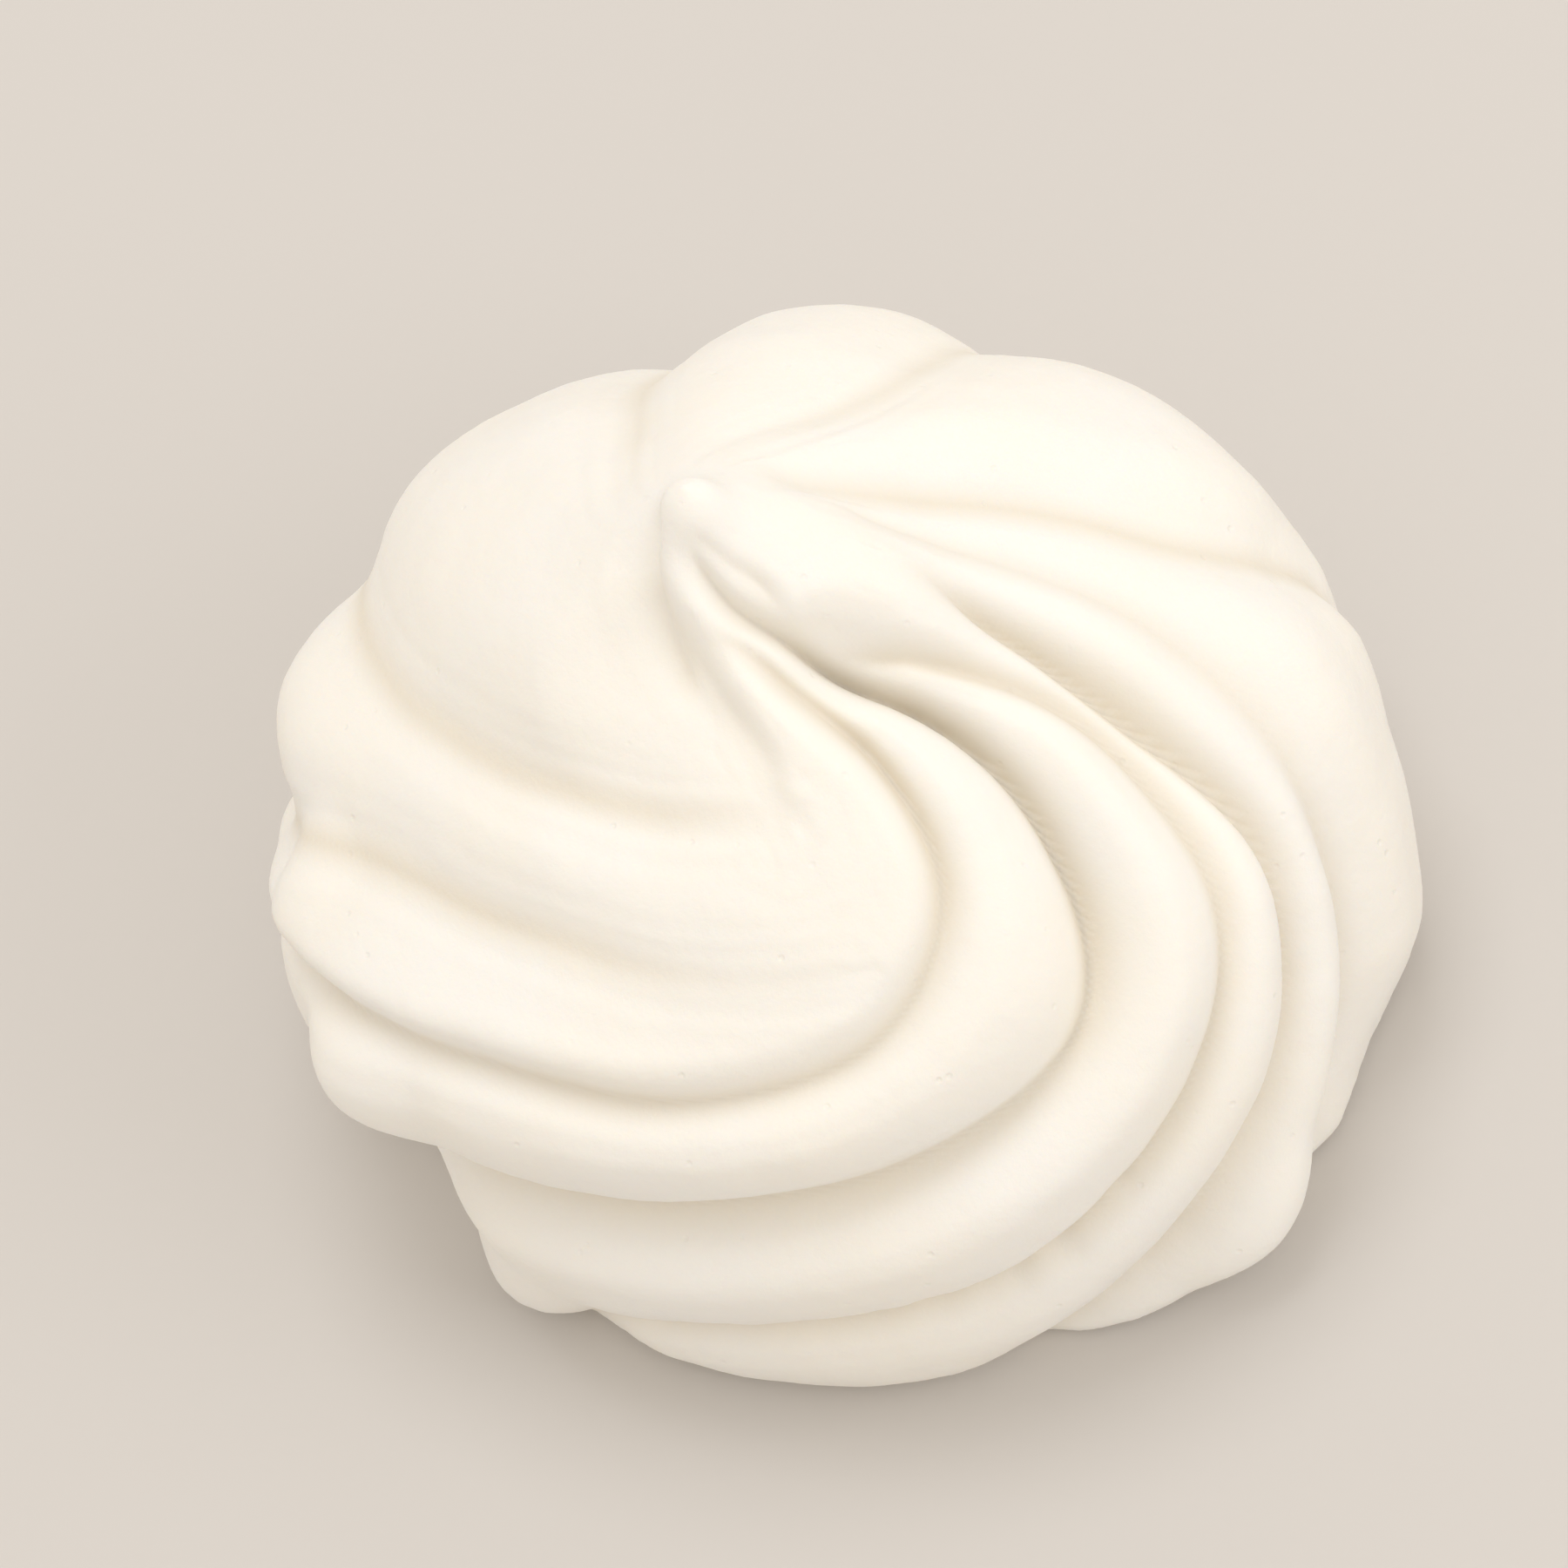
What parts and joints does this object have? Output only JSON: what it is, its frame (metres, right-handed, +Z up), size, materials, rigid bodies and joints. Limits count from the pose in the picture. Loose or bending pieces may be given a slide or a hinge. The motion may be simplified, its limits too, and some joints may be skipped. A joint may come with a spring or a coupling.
{
  "type": "meringue cookie",
  "caption": "Piped meringue kiss: a domed swirl of twisted ridges drawn up to a small leaning tip, standing on a flat scalloped foot.",
  "frame": {"origin": "middle of the cookie's box, on the flat face that it rests on", "axes": "+Z up from the foot towards the tip, +X to the right and +Y to the back as the piece is usually shown, with the tip leaning towards +Y"},
  "size_m": [0.0444, 0.0428, 0.0325],
  "materials": {
    "meringue": "dull, dry, very fine-grained warm white of baked egg white and sugar"
  },
  "bodies": {
    "root": {"meringue": "meringue"}
  },
  "joints": []
}
